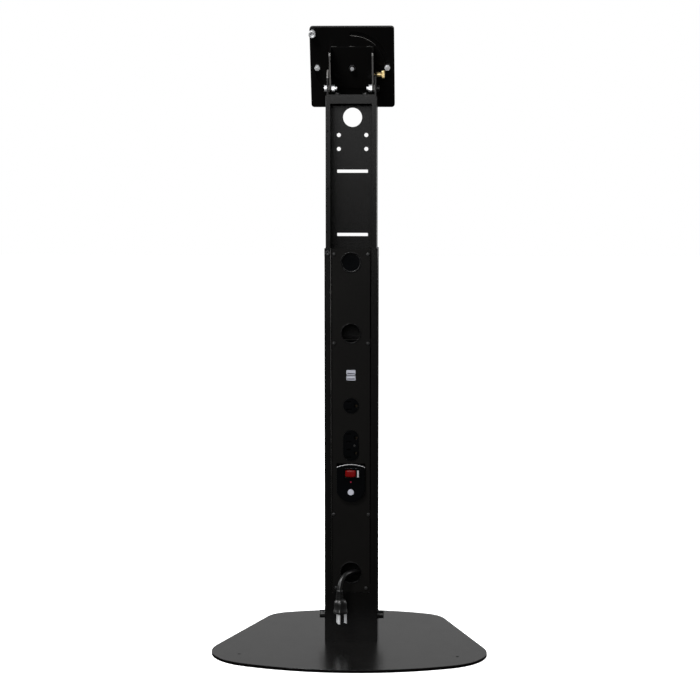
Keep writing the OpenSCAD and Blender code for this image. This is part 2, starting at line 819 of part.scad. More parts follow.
module head_plate() {
    color(black) on_plate() difference() {
        y_plate(head_rear, head_front) rounded_square(plate_side, plate_side, 5);
        y_plate(head_rear - 5, head_front + 5) {
            turn_slot(0);
            turn_slot(180);
        }
        y_rod(3 + slip, head_rear - 5, head_front + 5);
        y_rod(2 + slip, head_rear - 5, head_front + 5, turn_lock.x, turn_lock.y);
    }
}

module pivot_washer() {
    color([0.9, 0.9, 0.88]) on_plate() difference() {
        y_rod(28, head_front, vesa_rear - slip);
        y_rod(3 + slip, head_front - 5, vesa_rear + 5);
    }
}

// Screw in the plate's corner that stops the mounting plate from turning
module turn_lock_screw() {
    color(zinc) on_plate() translate([turn_lock.x, 0, turn_lock.y]) difference() {
        union() {
            y_rod(5.5, head_rear - 8.5, head_rear - slip);
            y_rod(2, head_rear - 1, vesa_rear - 0.3);
        }
        y_rod(3.6, head_rear - 20, head_rear - 5);
    }
}

// Mounting plate on the screen side, turning about its centre
module vesa_plate() {
    color(black) on_plate() difference() {
        y_plate(vesa_rear, vesa_front) rounded_square(plate_side, plate_side, 5);
        for (x = [-50, 50], z = [-50, 50]) y_rod(vesa_r, vesa_rear - 5, vesa_front + 5, x, z);
        for (x = [0, -turn_r, turn_r]) translate([x, vesa_front, 0]) rotate([90, 0, 0]) {
            translate([0, 0, -1]) cylinder(r = (x == 0 ? 3 : guide_r) + slip, h = vesa_t + 2);
            translate([0, 0, -slip]) cylinder(r1 = 5.6, r2 = 3, h = 2.6);
        }
    }
}

// Flush-headed bolt of radius r from the screen side, reaching back to y_end
module flush_bolt(r, y_end) {
    difference() {
        union() {
            translate([0, vesa_front, 0]) rotate([90, 0, 0]) cylinder(r1 = 5.3, r2 = r, h = 2.3);
            y_rod(r, y_end, vesa_front - 0.1);
        }
        translate([0, vesa_front + 1, 0]) rotate([90, 0, 0]) cylinder(r = 2, h = 3, $fn = 6);
    }
}

module pivot_bolt() {
    color(zinc) on_plate() flush_bolt(3, head_rear - web_t - 6);
}

module pivot_nut() {
    color(dark) on_plate() translate([0, head_rear - web_t - slip, 0]) rotate([90, 0, 0])
        nut(10, 5, 3 + slip);
}

module guide_places() {
    on_plate() for (x = [-turn_r, turn_r]) translate([x, 0, 0]) children();
}

module guide_bolts() {
    color(zinc) guide_places() flush_bolt(guide_r, head_rear - 5.6);
}

module guide_washers() {
    color(zinc) guide_places() difference() {
        y_rod(5.5, head_rear - 1, head_rear - slip);
        y_rod(guide_r + slip, head_rear - 5, head_rear + 5);
    }
}

module guide_nuts() {
    color(zinc) guide_places() translate([0, head_rear - 1, 0]) rotate([90, 0, 0]) nut(8, 4.2, guide_r + slip);
}

base_plate();
foot_bracket();
foot_screws();
side_bolts();
side_washers();
lower_column();
service_panel();
panel_tabs();
panel_screws();
blanking_disc();
cable_grommet();
cord_grommet();
height_lock_screw();
strip_tray();
strip_housing();
strip_back();
surge_head();
led_lens();
badge_disc();
power_rocker();
outlet_single();
outlet_pair();
outlet_screw();
usb_ports();
usb_tongues();
usb_board();
surge_board();
varistor_discs();
bus_bars();
cord_relief();
cord_lead();
cord_hank();
hank_tie();
cord_tail();
plug_relief();
plug_body();
plug_blades();
plug_ground_pin();
upper_column();
column_cap();
ear_bracket();
cap_bolts();
cap_nuts();
hinge_bolts();
hinge_washers();
hinge_nuts();
tilt_clamp_screw();
tilt_bracket();
head_plate();
pivot_washer();
turn_lock_screw();
vesa_plate();
pivot_bolt();
pivot_nut();
guide_bolts();
guide_washers();
guide_nuts();
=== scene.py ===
import json
import math

import bmesh
import bpy
from mathutils import Matrix, Vector


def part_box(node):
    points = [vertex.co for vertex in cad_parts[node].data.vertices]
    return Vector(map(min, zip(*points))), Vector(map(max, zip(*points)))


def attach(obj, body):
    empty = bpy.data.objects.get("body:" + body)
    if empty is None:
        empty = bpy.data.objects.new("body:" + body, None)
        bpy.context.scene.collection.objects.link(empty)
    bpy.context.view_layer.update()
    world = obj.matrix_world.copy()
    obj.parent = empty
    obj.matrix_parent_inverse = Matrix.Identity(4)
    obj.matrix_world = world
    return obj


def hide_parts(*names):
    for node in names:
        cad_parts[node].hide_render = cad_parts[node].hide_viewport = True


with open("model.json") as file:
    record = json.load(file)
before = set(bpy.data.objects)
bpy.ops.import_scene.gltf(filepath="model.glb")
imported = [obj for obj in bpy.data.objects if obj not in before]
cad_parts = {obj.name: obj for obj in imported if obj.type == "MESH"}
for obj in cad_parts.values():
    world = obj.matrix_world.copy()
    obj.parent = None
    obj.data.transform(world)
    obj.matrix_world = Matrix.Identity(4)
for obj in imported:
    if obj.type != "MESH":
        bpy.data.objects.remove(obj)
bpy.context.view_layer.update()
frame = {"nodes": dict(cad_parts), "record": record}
nodes = frame["nodes"]
record = frame["record"]
body_of = {n: b for b, members in record["behaviour"]["bodies"].items() for n in members}
slot_of = {s["node"]: s["material_slot"] for s in record["subparts"]}
MM = 0.001


# ---------- camera ----------

CAMERA_AT = (0.1588, -3.186, 0.791)
CAMERA_DOWN = 5.65                              # degrees that it looks down
CAMERA_TURN = 2.9                               # degrees that it looks to its left
SENSOR_WIDTH = 36                               # mm
LENS = 102.86                                   # mm


def make_camera():
    camera = bpy.data.objects.new("camera", bpy.data.cameras.new("camera"))
    bpy.context.scene.collection.objects.link(camera)
    camera.data.lens = LENS
    camera.data.sensor_width = SENSOR_WIDTH
    camera.location = CAMERA_AT
    camera.rotation_euler = (math.radians(90 - CAMERA_DOWN), 0, math.radians(CAMERA_TURN))
    bpy.context.scene.camera = camera


make_camera()


# ---------- materials ----------

def connect(material, source, target):
    material.node_tree.links.new(source, target)


def add_node(material, kind, **values):
    node = material.node_tree.nodes.new(kind)
    for name, value in values.items():
        if name in node.inputs:
            node.inputs[name].default_value = value
        else:
            setattr(node, name, value)
    return node


def noise_field(material, scale, detail, stretch=(1, 1, 1)):
    """A noise pattern in the object's own coordinates, in metres. stretch below 1 draws it out along that axis."""
    place = add_node(material, "ShaderNodeTexCoord")
    mapping = add_node(material, "ShaderNodeMapping", Scale=stretch)
    field = add_node(material, "ShaderNodeTexNoise", Scale=scale, Detail=detail, Roughness=0.6)
    connect(material, place.outputs["Object"], mapping.inputs["Vector"])
    connect(material, mapping.outputs["Vector"], field.inputs["Vector"])
    return field.outputs["Fac"]


def remap(material, field, low, high, to_low, to_high):
    """field from low to high becomes a number from to_low to to_high."""
    node = add_node(material, "ShaderNodeMapRange")
    for name, value in zip(("From Min", "From Max", "To Min", "To Max"), (low, high, to_low, to_high)):
        node.inputs[name].default_value = value
    connect(material, field, node.inputs["Value"])
    return node.outputs["Result"]


def blend_colours(material, factor, first, second):
    node = add_node(material, "ShaderNodeMix", data_type="RGBA")
    node.inputs[6].default_value = (*first, 1)
    node.inputs[7].default_value = (*second, 1)
    connect(material, factor, node.inputs[0])
    return node.outputs[2]


PATCHES = 14                                    # noise scale of the colour, per metre
SMEARS = 45                                     # and of the gloss
RELIEF_DEPTH = 0.0002


def surface(name, colour, worn, rough, spread, grain, bump, metal=0.0, stretch=(1, 1, 1), **sockets):
    """One finish: two close colours in soft patches, uneven gloss, and a fine relief of that grain per metre."""
    material = bpy.data.materials.new(name)
    material.use_nodes = True
    shader = material.node_tree.nodes["Principled BSDF"]
    shader.inputs["Metallic"].default_value = metal
    for socket, value in sockets.items():
        shader.inputs[socket.replace("_", " ")].default_value = value
    patches = remap(material, noise_field(material, PATCHES, 5), 0.42, 0.68, 0, 1)
    connect(material, blend_colours(material, patches, colour, worn), shader.inputs["Base Color"])
    smears = noise_field(material, SMEARS, 6, stretch)
    gloss = remap(material, smears, 0.3, 0.7, rough - spread, rough + spread)
    connect(material, gloss, shader.inputs["Roughness"])
    relief = add_node(material, "ShaderNodeBump", Strength=bump, Distance=RELIEF_DEPTH)
    connect(material, noise_field(material, grain, 2, stretch), relief.inputs["Height"])
    connect(material, relief.outputs["Normal"], shader.inputs["Normal"])
    return material


FINISHES = {
    "powder_coat": dict(colour=(0.0022, 0.0021, 0.0020), worn=(0.0030, 0.0029, 0.0028), rough=0.26, spread=0.012,
                        grain=1300, bump=0.06, Specular_IOR_Level=0.12),
    # The same coat on rounded edges, lighter and glossier there: partly the coat rubbed thin, and partly a painted
    # sheen where the edges catch the lamps.
    "rubbed_edge_and_painted_sheen": dict(colour=(0.008, 0.0078, 0.0076), worn=(0.018, 0.0175, 0.017), rough=0.26, spread=0.05,
                        grain=1300, bump=0.08, Specular_IOR_Level=0.3),
    # The same coat on the flat service panel and the inner sheets, a little duller.
    "panel_coat": dict(colour=(0.0034, 0.0032, 0.0029), worn=(0.0043, 0.0041, 0.0037), rough=0.48, spread=0.03,
                       grain=1300, bump=0.14, Specular_IOR_Level=0.06),
    # Painted highlight: a pale colour on chosen sheet edges and roundings, standing in for where the lamps catch
    # them.
    "painted_edge_highlight": dict(colour=(0.085, 0.082, 0.08), worn=(0.14, 0.135, 0.13), rough=0.30, spread=0.05,
                     grain=900, bump=0.08),
    # The glossy rounded rim of a black moulding, painted pale as a highlight where the lamps catch it.
    "painted_rim_highlight": dict(colour=(0.42, 0.42, 0.43), worn=(0.5, 0.5, 0.51), rough=0.16, spread=0.03,
                          grain=700, bump=0.03),
    "black_plastic": dict(colour=(0.0030, 0.0030, 0.0030), worn=(0.0045, 0.0045, 0.0045), rough=0.32, spread=0.05,
                          grain=2200, bump=0.12, Specular_IOR_Level=0.3),
    "gloss_black": dict(colour=(0.0014, 0.0016, 0.0018), worn=(0.0020, 0.0022, 0.0026), rough=0.16, spread=0.03,
                        grain=700, bump=0.015, Specular_IOR_Level=0.06),
    "cord_rubber": dict(colour=(0.0050, 0.0050, 0.0050), worn=(0.0075, 0.0075, 0.0072), rough=0.34, spread=0.06,
                        grain=1600, bump=0.10),
    "black_screw": dict(colour=(0.016, 0.016, 0.016), worn=(0.035, 0.035, 0.035), rough=0.30, spread=0.07,
                        grain=1800, bump=0.10, metal=0.5),
    "zinc_steel": dict(colour=(0.82, 0.83, 0.84), worn=(0.66, 0.67, 0.69), rough=0.34, spread=0.08,
                       grain=1500, bump=0.08, metal=0.55),
    # Brass contacts painted far darker than brass: painted shade where they sit deep behind the outlets' holes.
    "contact_brass": dict(colour=(0.030, 0.022, 0.012), worn=(0.022, 0.016, 0.010), rough=0.42, spread=0.08,
                          grain=600, bump=0.08, metal=0.8),
    "brass": dict(colour=(0.83, 0.66, 0.34), worn=(0.70, 0.52, 0.24), rough=0.26, spread=0.07,
                  grain=2400, bump=0.10, metal=0.7, stretch=(3, 0.4, 0.4)),
    "nylon": dict(colour=(0.60, 0.60, 0.57), worn=(0.54, 0.53, 0.50), rough=0.45, spread=0.05,
                  grain=1500, bump=0.06),
    "pale_plastic": dict(colour=(0.50, 0.51, 0.58), worn=(0.45, 0.46, 0.52), rough=0.34, spread=0.05,
                         grain=2000, bump=0.05),
    "red_plastic": dict(colour=(0.14, 0.0025, 0.0025), worn=(0.11, 0.002, 0.002), rough=0.26, spread=0.05,
                        grain=900, bump=0.04, Specular_IOR_Level=0.12),
    "red_lens": dict(colour=(0.20, 0.008, 0.03), worn=(0.16, 0.006, 0.02), rough=0.12, spread=0.03,
                     grain=900, bump=0.03, Emission_Color=(1.0, 0.1, 0.2, 1.0), Emission_Strength=0.06),
    "circuit_board": dict(colour=(0.01, 0.08, 0.03), worn=(0.015, 0.11, 0.045), rough=0.35, spread=0.08,
                          grain=420, bump=0.10),
    "blue_disc": dict(colour=(0.02, 0.05, 0.25), worn=(0.03, 0.07, 0.3), rough=0.22, spread=0.05,
                      grain=700, bump=0.06),
}
finish_of = {name: surface(name, **values) for name, values in FINISHES.items()}


# ---------- building helpers ----------

def shade(mesh, angle=28):
    mesh.shade_smooth()
    mesh.set_sharp_from_angle(angle=math.radians(angle))


def add_piece(name, mesh, node, *materials):
    """A new piece that stands for a CAD node: it rides on the node's body and takes its slot."""
    piece = bpy.data.objects.new(name, mesh)
    bpy.context.scene.collection.objects.link(piece)
    for material in materials or (slot_of[node],):
        mesh.materials.append(finish_of[material])
    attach(piece, body_of[node])
    return piece


def mesh_from(bm, name):
    bmesh.ops.recalc_face_normals(bm, faces=bm.faces)
    mesh = bpy.data.meshes.new(name)
    bm.to_mesh(mesh)
    bm.free()
    shade(mesh)
    return mesh


def applied(piece):
    """Replaces the piece's mesh by what its modifiers make of it."""
    bpy.context.view_layer.update()
    seen = piece.evaluated_get(bpy.context.evaluated_depsgraph_get())
    mesh = bpy.data.meshes.new_from_object(seen)
    piece.modifiers.clear()
    piece.data = mesh
    return piece


def tidy_copy(node):
    """The node's own mesh, welded and without the lines between coplanar triangles."""
    bm = bmesh.new()
    bm.from_mesh(nodes[node].data)
    bmesh.ops.remove_doubles(bm, verts=bm.verts, dist=1e-6)
    bmesh.ops.dissolve_limit(bm, angle_limit=math.radians(0.6), verts=bm.verts, edges=bm.edges)
    return bm


def rounded(node, width, edge=None, bends=None, radius=0.002, segments=2, main=None):
    """A copy of a CAD node with rounded edges, in the finish called edge. bends picks the edges of folded sheet."""
    bm = tidy_copy(node)
    if bends:
        folded = [e for e in bm.edges if bends(e)]
        bmesh.ops.bevel(bm, geom=folded, offset=radius, segments=6, profile=0.5, affect="EDGES", clamp_overlap=True)
    main = main or slot_of[node]
    piece = add_piece(node + "_rounded", mesh_from(bm, node + "_rounded"), node, main, edge or main)
    bevel = piece.modifiers.new("edges", "BEVEL")
    bevel.width = width
    bevel.segments = segments
    bevel.limit_method = "ANGLE"
    bevel.angle_limit = math.radians(40)
    bevel.material = 1 if edge else -1
    applied(piece)
    shade(piece.data)
    flat = piece.modifiers.new("flat_faces", "WEIGHTED_NORMAL")
    flat.keep_sharp = True
    applied(piece)
    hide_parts(node)
    return piece


def repaint(piece, finish, where):
    """Gives another finish to the piece's faces that where(centre, normal) picks."""
    piece.data.materials.append(finish_of[finish])
    last = len(piece.data.materials) - 1
    for face in piece.data.polygons:
        if where(face.center, face.normal):
            face.material_index = last


def skin(bm, rings):
    """Joins rings of points in order, and closes both ends."""
    for low, high in zip(rings, rings[1:]):
        for k in range(len(low)):
            after = (k + 1) % len(low)
            bm.faces.new((low[k], low[after], high[after], high[k]))
    bm.faces.new(list(reversed(rings[0])))
    bm.faces.new(rings[-1])


def squared_circle(half_a, half_b, power_a, power_b, sides=48):
    """Points of an ellipse whose corners are filled out: powers of 1 leave it as it is, 0 makes it a rectangle."""
    turns = [2 * math.pi * k / sides for k in range(sides)]
    return [(half_a * math.copysign(abs(math.cos(t)) ** power_a, math.cos(t)),
             half_b * math.copysign(abs(math.sin(t)) ** power_b, math.sin(t))) for t in turns]


def lathe(profile, sides, place):
    """A turned form: profile is a list of (radius, height); place moves it from its own Z axis."""
    bm = bmesh.new()
    rings = []
    for radius, height in profile:
        points = [(radius_at(radius, k, sides), 2 * math.pi * k / sides) for k in range(sides)]
        rings.append([bm.verts.new((r * math.cos(a), r * math.sin(a), height)) for r, a in points])
    skin(bm, rings)
    bm.transform(place)
    return bm


def radius_at(radius, k, sides):
    """radius is a number, or (outer, inner) for a knurl, which alternates every two of the sides."""
    if isinstance(radius, tuple):
        return radius[(k // 2) % 2]
    return radius


def tube(path, radius, sides=16):
    """A round tube along the path, its rings carried on without twist."""
    bm = bmesh.new()
    points = [Vector(p) for p in path]
    last = len(points) - 1
    side = None
    rings = []
    for i, point in enumerate(points):
        along = (points[min(i + 1, last)] - points[max(i - 1, 0)]).normalized()
        if side is None:
            side = along.orthogonal()
        side = (side - along * side.dot(along)).normalized()
        other = along.cross(side)
        turns = [2 * math.pi * k / sides for k in range(sides)]
        rings.append([bm.verts.new(point + radius * (side * math.cos(a) + other * math.sin(a))) for a in turns])
    skin(bm, rings)
    return bm


def join(target, other):
    """Adds the other bmesh to the target and frees it."""
    mesh = bpy.data.meshes.new("part")
    other.to_mesh(mesh)
    other.free()
    target.from_mesh(mesh)
    bpy.data.meshes.remove(mesh)


def smooth_path(points, step=0.004):
    """A curve through the points (Catmull-Rom), in steps of about that length."""
    points = [Vector(p) for p in points]
    ends = [2 * points[0] - points[1]] + points + [2 * points[-1] - points[-2]]
    path = []
    for a, b, c, d in zip(ends, ends[1:], ends[2:], ends[3:]):
        count = max(1, round((c - b).length / step))
        for i in range(count):
            t = i / count
            square, cube = 2 * a - 5 * b + 4 * c - d, 3 * b - a - 3 * c + d
            path.append(0.5 * (2 * b + (c - a) * t + square * t ** 2 + cube * t ** 3))
    return path + [points[-1]]


# ---------- the power lead ----------

CORD_DIAMETER = 0.0076

# The route's points in millimetres, as in part.scad: from the strip to the hank, and from the hank to the plug.
LEAD = [
    (0, -2, 202), (-0.5, 0, 190), (-2, 6, 179), (-4, 12, 172), (-6, 18.5, 165),
    (-10, 24.5, 154), (-14.5, 26.5, 142), (-19, 26.5, 130), (-22.5, 26.5, 118),
]
TAIL = [
    (23, 6, 93), (21.6, 4.2, 104.1), (17.7, -0.7, 112.4), (11.9, -8, 117.2), (3, -19.2, 118),
    (-5.9, -30.5, 117.2), (-11.7, -37.7, 112.4), (-15.6, -42.7, 104.1), (-17, -44.5, 94),
]
HANK_FOLD = 23                                  # radius of the folds
HANK_LOW = 36                                   # Z of the straight runs' ends
HANK_HIGH = 112
HANK_Y = (26.5, 6)                              # from the first turn to the last
HANK_TURNS = 2
HANK_STEP = 6                                   # from point to point


def hank_turns():
    """Points of the folded spare length: down on the left, up on the right, each turn in front of the last."""
    run = HANK_HIGH - HANK_LOW
    fold = math.pi * HANK_FOLD
    turn = 2 * (run + fold)
    whole = HANK_TURNS * turn + run + fold + TAIL[0][2] - HANK_LOW
    count = round(whole / HANK_STEP)
    points = []
    for i in range(count):
        gone = whole * i / count
        y = HANK_Y[0] + (HANK_Y[1] - HANK_Y[0]) * gone / whole
        here = gone % turn
        if here < run:
            x, z = -HANK_FOLD, HANK_HIGH - here
        elif here < run + fold:
            a = (here - run) / HANK_FOLD
            x, z = -HANK_FOLD * math.cos(a), HANK_LOW - HANK_FOLD * math.sin(a)
        elif here < 2 * run + fold:
            x, z = HANK_FOLD, HANK_LOW + here - run - fold
        else:
            a = (here - 2 * run - fold) / HANK_FOLD
            x, z = HANK_FOLD * math.cos(a), HANK_HIGH + HANK_FOLD * math.sin(a)
        points.append((x, y, z))
    return points


def power_lead():
    route = [Vector(p) * MM for p in LEAD + hank_turns() + TAIL]
    path = smooth_path(route)
    mesh = mesh_from(tube(path, CORD_DIAMETER / 2), "power_lead")
    lead = add_piece("power_lead", mesh, "cord_tail")
    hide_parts("cord_lead", "cord_hank", "cord_tail")
    return lead, path


def plug_relief():
    """Ribbed sleeve between the lead and the plug."""
    low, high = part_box("plug_relief")
    length = high.z - low.z
    foot_r, top_r, groove = 0.0062, 0.0042, 0.0011
    foot = 0.0015
    ribs = 5
    profile = [(foot_r, 0), (foot_r, foot)]
    for i in range(ribs):
        z = foot + (length - foot - 0.001) * i / ribs
        rib_r = foot_r - 0.0011 * i / (ribs - 1)
        profile += [(rib_r - groove, z + 0.0002), (rib_r - groove, z + 0.0010), (rib_r, z + 0.0012),
                    (rib_r, z + 0.0024)]
    profile += [(top_r + 0.0004, length - 0.0003), (top_r, length)]
    place = Matrix.Translation(((low.x + high.x) / 2, (low.y + high.y) / 2, low.z))
    piece = add_piece("plug_relief_ribbed", mesh_from(lathe(profile, 40, place), "plug_relief_ribbed"), "plug_relief")
    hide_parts("plug_relief")
    return piece


PLUG_AT = (-15.5, -44.5)                        # X and Y in millimetres, as in part.scad
PLUG_TURN = 38                                  # degrees

# The plug's sections from its face up: share of its height, and half its width each way in millimetres.
PLUG_SECTIONS = [
    (0.00, 9.8, 9.2), (0.02, 10.4, 9.8), (0.10, 10.5, 10.0), (0.17, 10.4, 9.9), (0.22, 10.0, 9.5),
    (0.40, 9.4, 9.0), (0.58, 9.5, 9.2), (0.72, 9.7, 9.4), (0.82, 9.4, 9.2), (0.90, 8.6, 8.5),
    (0.96, 7.5, 7.4), (1.00, 6.4, 6.4),
]


def plug_body():
    """Moulded plug: a squarish body with a rim at its face, pinched where fingers hold it, and round shoulders."""
    low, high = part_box("plug_body")
    height = high.z - low.z
    bm = bmesh.new()
    rings = []
    for share, half_x, half_y in PLUG_SECTIONS:
        power = 2 / (3.4 - 1.4 * share ** 2)
        ring = squared_circle(half_x * MM, half_y * MM, power, power)
        rings.append([bm.verts.new((x, y, height * share)) for x, y in ring])
    skin(bm, rings)
    centre = Vector((PLUG_AT[0] * MM, PLUG_AT[1] * MM, low.z))
    bm.transform(Matrix.Translation(centre) @ Matrix.Rotation(math.radians(PLUG_TURN), 4, "Z"))
    piece = add_piece("plug_body_moulded", mesh_from(bm, "plug_body_moulded"), "plug_body")
    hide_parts("plug_body")
    return piece


lead, lead_path = power_lead()
on_lead = [
    plug_relief(), plug_body(), rounded("plug_blades", 0.0003), rounded("plug_ground_pin", 0.0004),
    rounded("hank_tie", 0.0004), rounded("cord_relief", 0.0003),
]


# ---------- sheet metal and fittings ----------

def joint_named(name):
    return next(j for j in record["behaviour"]["joints"] if j["name"] == name)


LIP_EDGE = 0.0313                               # X of the lower column's lips at their inner edges
LIP_BEND = 0.0013


def column_folds(node, lip_edge=None):
    """Picks the upright outside corners of a folded column, and its lips' inner front edges at lip_edge."""
    low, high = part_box(node)

    def picks(edge):
        a, b = (v.co for v in edge.verts)
        upright = abs(a.z - b.z) > 0.05 and abs(a.x - b.x) < 1e-5 and abs(a.y - b.y) < 1e-5
        outside = min(abs(a.x - low.x), abs(a.x - high.x)) < 1e-4 and min(abs(a.y - low.y), abs(a.y - high.y)) < 1e-4
        lip = lip_edge and abs(abs(a.x) - lip_edge) < 1e-4 and abs(a.y - low.y) < 1e-4
        return upright and (outside or lip)

    return picks


def lip_front(centre, normal):
    """The rounded inner front edge of the lower column's left lip, which gets a painted highlight."""
    near = -LIP_EDGE - LIP_BEND - 0.0001 < centre.x < -LIP_EDGE + 0.0002
    return near and normal.x > 0.15 and normal.y < -0.1


def ear_front(centre, normal):
    """The front edge of the left ear, from where it shows over the cap, which gets a painted highlight."""
    return centre.x < -0.036 and centre.z > 0.887 and normal.y < -0.3


# Rounded edges here get the lighter edge finish: partly rubbed coat, partly painted sheen.
rounded("base_plate", 0.0009, "rubbed_edge_and_painted_sheen", segments=3)
lower = rounded("lower_column", 0.00035, "rubbed_edge_and_painted_sheen", column_folds("lower_column", LIP_EDGE), LIP_BEND)
repaint(lower, "painted_edge_highlight", lip_front)
rounded("upper_column", 0.00035, "rubbed_edge_and_painted_sheen", column_folds("upper_column"), 0.0018)
rounded("service_panel", 0.0004, "rubbed_edge_and_painted_sheen", main="panel_coat")
for sheet in ("column_cap", "vesa_plate"):
    rounded(sheet, 0.0004, "rubbed_edge_and_painted_sheen")
ears = rounded("ear_bracket", 0.0005, "rubbed_edge_and_painted_sheen")
repaint(ears, "painted_edge_highlight", ear_front)
for inner_sheet in ("foot_bracket", "panel_tabs", "strip_tray"):
    rounded(inner_sheet, 0.0002, main="panel_coat")

head_turn = joint_named("head_turn")
head_away = -Vector(head_turn["axis"])          # towards the service side, square to the head's plates
head_up = Vector((1, 0, 0)).cross(head_away)
head_centre = Vector(head_turn["pos_m"])
SLOT_INSIDE = (0.0505, 0.0535)                  # distances from the pivot between which the slot's inner edge is
FLANGE_INSIDE = 0.0322                          # X of the tilt bracket's flanges


def slot_rim(centre, normal):
    """The upper turn slot's inner edge on the head plate's service face, which gets a painted highlight."""
    out = centre - head_centre
    out -= head_away * out.dot(head_away)
    rim = SLOT_INSIDE[0] < out.length < SLOT_INSIDE[1]
    upper = out.dot(head_up) > 0.66 * out.length and out.x > -0.004
    return rim and upper and -0.9 < normal.dot(head_away) < 0.5


def rear_edge(centre, normal):
    """The rear edges of the tilt bracket's two flanges, and the rounding beside them, painted bright as a highlight.
    """
    upper = (centre - head_centre).dot(head_up) > -0.017
    return upper and abs(centre.x) > FLANGE_INSIDE and normal.dot(head_away) < -0.3


plate = rounded("head_plate", 0.0004, "rubbed_edge_and_painted_sheen")
repaint(plate, "painted_edge_highlight", slot_rim)
bracket = rounded("tilt_bracket", 0.0004, "rubbed_edge_and_painted_sheen")
repaint(bracket, "painted_edge_highlight", rear_edge)


surge_low, surge_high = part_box("surge_head")
SWITCH_FACE = surge_low.y + 0.0008              # Y of the front of the switch's frame
SURGE_FACE = SWITCH_FACE + 0.001


def bright_rim(centre, normal):
    """The surge unit's arched top, and the ridge beside its switch, which get the bright painted highlight."""
    arch = centre.z > surge_high.z - 0.0075 and centre.y < SURGE_FACE + 0.0024
    top = arch and normal.z > 0.2 and normal.y < -0.1
    ridge = 0.0101 < centre.x < 0.0129 and centre.y < SWITCH_FACE - 0.0002 and normal.y < -0.3
    return top or ridge


def dull_rim(centre, normal):
    """The rounding of the surge unit's right side and of the switch's frame, which get a dimmer painted highlight."""
    rounding = -0.95 < normal.y < -0.1
    frame_edge = centre.x > 0.004 and centre.y < SWITCH_FACE + 0.0009
    side = centre.x > 0.0195 and centre.y < SWITCH_FACE + 0.0022
    return rounding and (frame_edge or side) and not bright_rim(centre, normal)


def surge_folds(edge):
    """Picks the surge unit's arched top front edge, for a wide rounding."""
    a, b = (v.co for v in edge.verts)
    front = max(abs(a.y - SURGE_FACE), abs(b.y - SURGE_FACE)) < 1e-4
    top = min(a.z, b.z) > surge_high.z - 0.0052 and abs(a.x - b.x) > 1e-4
    return front and top


def port_corners(edge):
    """Picks the port blocks' corner edges that run front to back."""
    a, b = (v.co for v in edge.verts)
    return abs(a.x) > 0.0068 and abs(a.y - b.y) > 0.005


def shaded_bolt_end(centre, normal):
    """The right hinge bolt's end, which looks black; it is painted black as painted shade."""
    return centre.x > 0.0385


surge = rounded("surge_head", 0.0008, bends=surge_folds, radius=0.0020, segments=3)
repaint(surge, "painted_edge_highlight", dull_rim)
repaint(surge, "painted_rim_highlight", bright_rim)
# The rings' rims get the lighter edge finish, partly a painted sheen.
for ring in ("cable_grommet", "cord_grommet", "blanking_disc"):
    rounded(ring, 0.0006, "rubbed_edge_and_painted_sheen", segments=3, main="gloss_black")
for moulding in ("outlet_single", "outlet_pair"):
    rounded(moulding, 0.0005, segments=3)
rounded("usb_ports", 0.0003, bends=port_corners, radius=0.0014)
for small in ("badge_disc", "led_lens", "usb_tongues", "strip_housing", "strip_back", "usb_board",
              "surge_board", "varistor_discs", "bus_bars"):
    rounded(small, 0.0003)
for fastener in ("side_bolts", "side_washers", "foot_screws", "height_lock_screw", "outlet_screw", "cap_bolts",
                 "cap_nuts", "hinge_washers", "hinge_nuts", "pivot_washer", "turn_lock_screw", "pivot_bolt",
                 "pivot_nut", "guide_bolts"):
    rounded(fastener, 0.0003)
rounded("guide_nuts", 0.0005)
# The zinc guide washers get the dark screw finish as painted shade.
rounded("guide_washers", 0.0003, main="black_screw")
hinge_bolts = rounded("hinge_bolts", 0.0003)
# The right end of the hinge bolts is painted black as painted shade.
repaint(hinge_bolts, "black_screw", shaded_bolt_end)


# ---------- pieces with more shape than their CAD solids ----------

ROCKER_LEAN = 6                                 # degrees, pressed at its left

# The rocker's sections from its face back, in millimetres: depth from the pivot, and half its width and height.
ROCKER_SECTIONS = [
    (-6.0, 5.6, 3.6), (-5.9, 6.8, 4.6), (-5.5, 7.8, 5.2), (-4.8, 8.5, 5.6), (-3.8, 8.8, 5.8), (-1.0, 8.0, 5.8),
    (3.0, 3.9, 5.8),
]
TRUNNION = [(0.0013, -0.0079), (0.0015, -0.0077), (0.0015, 0.0077), (0.0013, 0.0079)]


def clamp_screw():
    """Brass thumb screw with a waisted neck and a knurled rim."""
    low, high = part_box("tilt_clamp_screw")
    y, z = (low.y + high.y) / 2, (low.z + high.z) / 2
    reach = high.x - low.x
    profile = [
        (0.0020, 0), (0.0025, 0.0006), (0.0025, 0.0039), (0.0039, 0.0039), (0.00415, 0.0043), (0.00415, 0.0085),
        (0.0038, 0.0090), (0.0038, 0.0112), (0.0050, 0.0120), (0.0060, 0.0122), ((0.0063, 0.0059), 0.0126),
        ((0.0063, 0.0059), reach - 0.0005), (0.0058, reach - 0.0002), (0.0048, reach),
    ]
    place = Matrix.Translation((low.x, y, z)) @ Matrix.Rotation(math.radians(90), 4, "Y")
    piece = add_piece("tilt_clamp_knurled", mesh_from(lathe(profile, 96, place), "tilt_clamp_knurled"),
                      "tilt_clamp_screw")
    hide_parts("tilt_clamp_screw")


def rocker():
    """Red rocker with round ends and soft edges, on its trunnion, leaning as at rest."""
    bm = bmesh.new()
    rings = []
    for depth, half_x, half_z in ROCKER_SECTIONS:
        ring = squared_circle(half_x, half_z, 0.5, 0.4)
        rings.append([bm.verts.new((x * MM, depth * MM, z * MM)) for x, z in ring])
    skin(bm, rings)
    bm.transform(Matrix.Rotation(math.radians(-ROCKER_LEAN), 4, "Z"))
    join(bm, lathe(TRUNNION, 24, Matrix()))
    bm.transform(Matrix.Translation(joint_named("rocker_press")["pos_m"]))
    piece = add_piece("power_rocker_moulded", mesh_from(bm, "power_rocker_moulded"), "power_rocker")
    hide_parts("power_rocker")


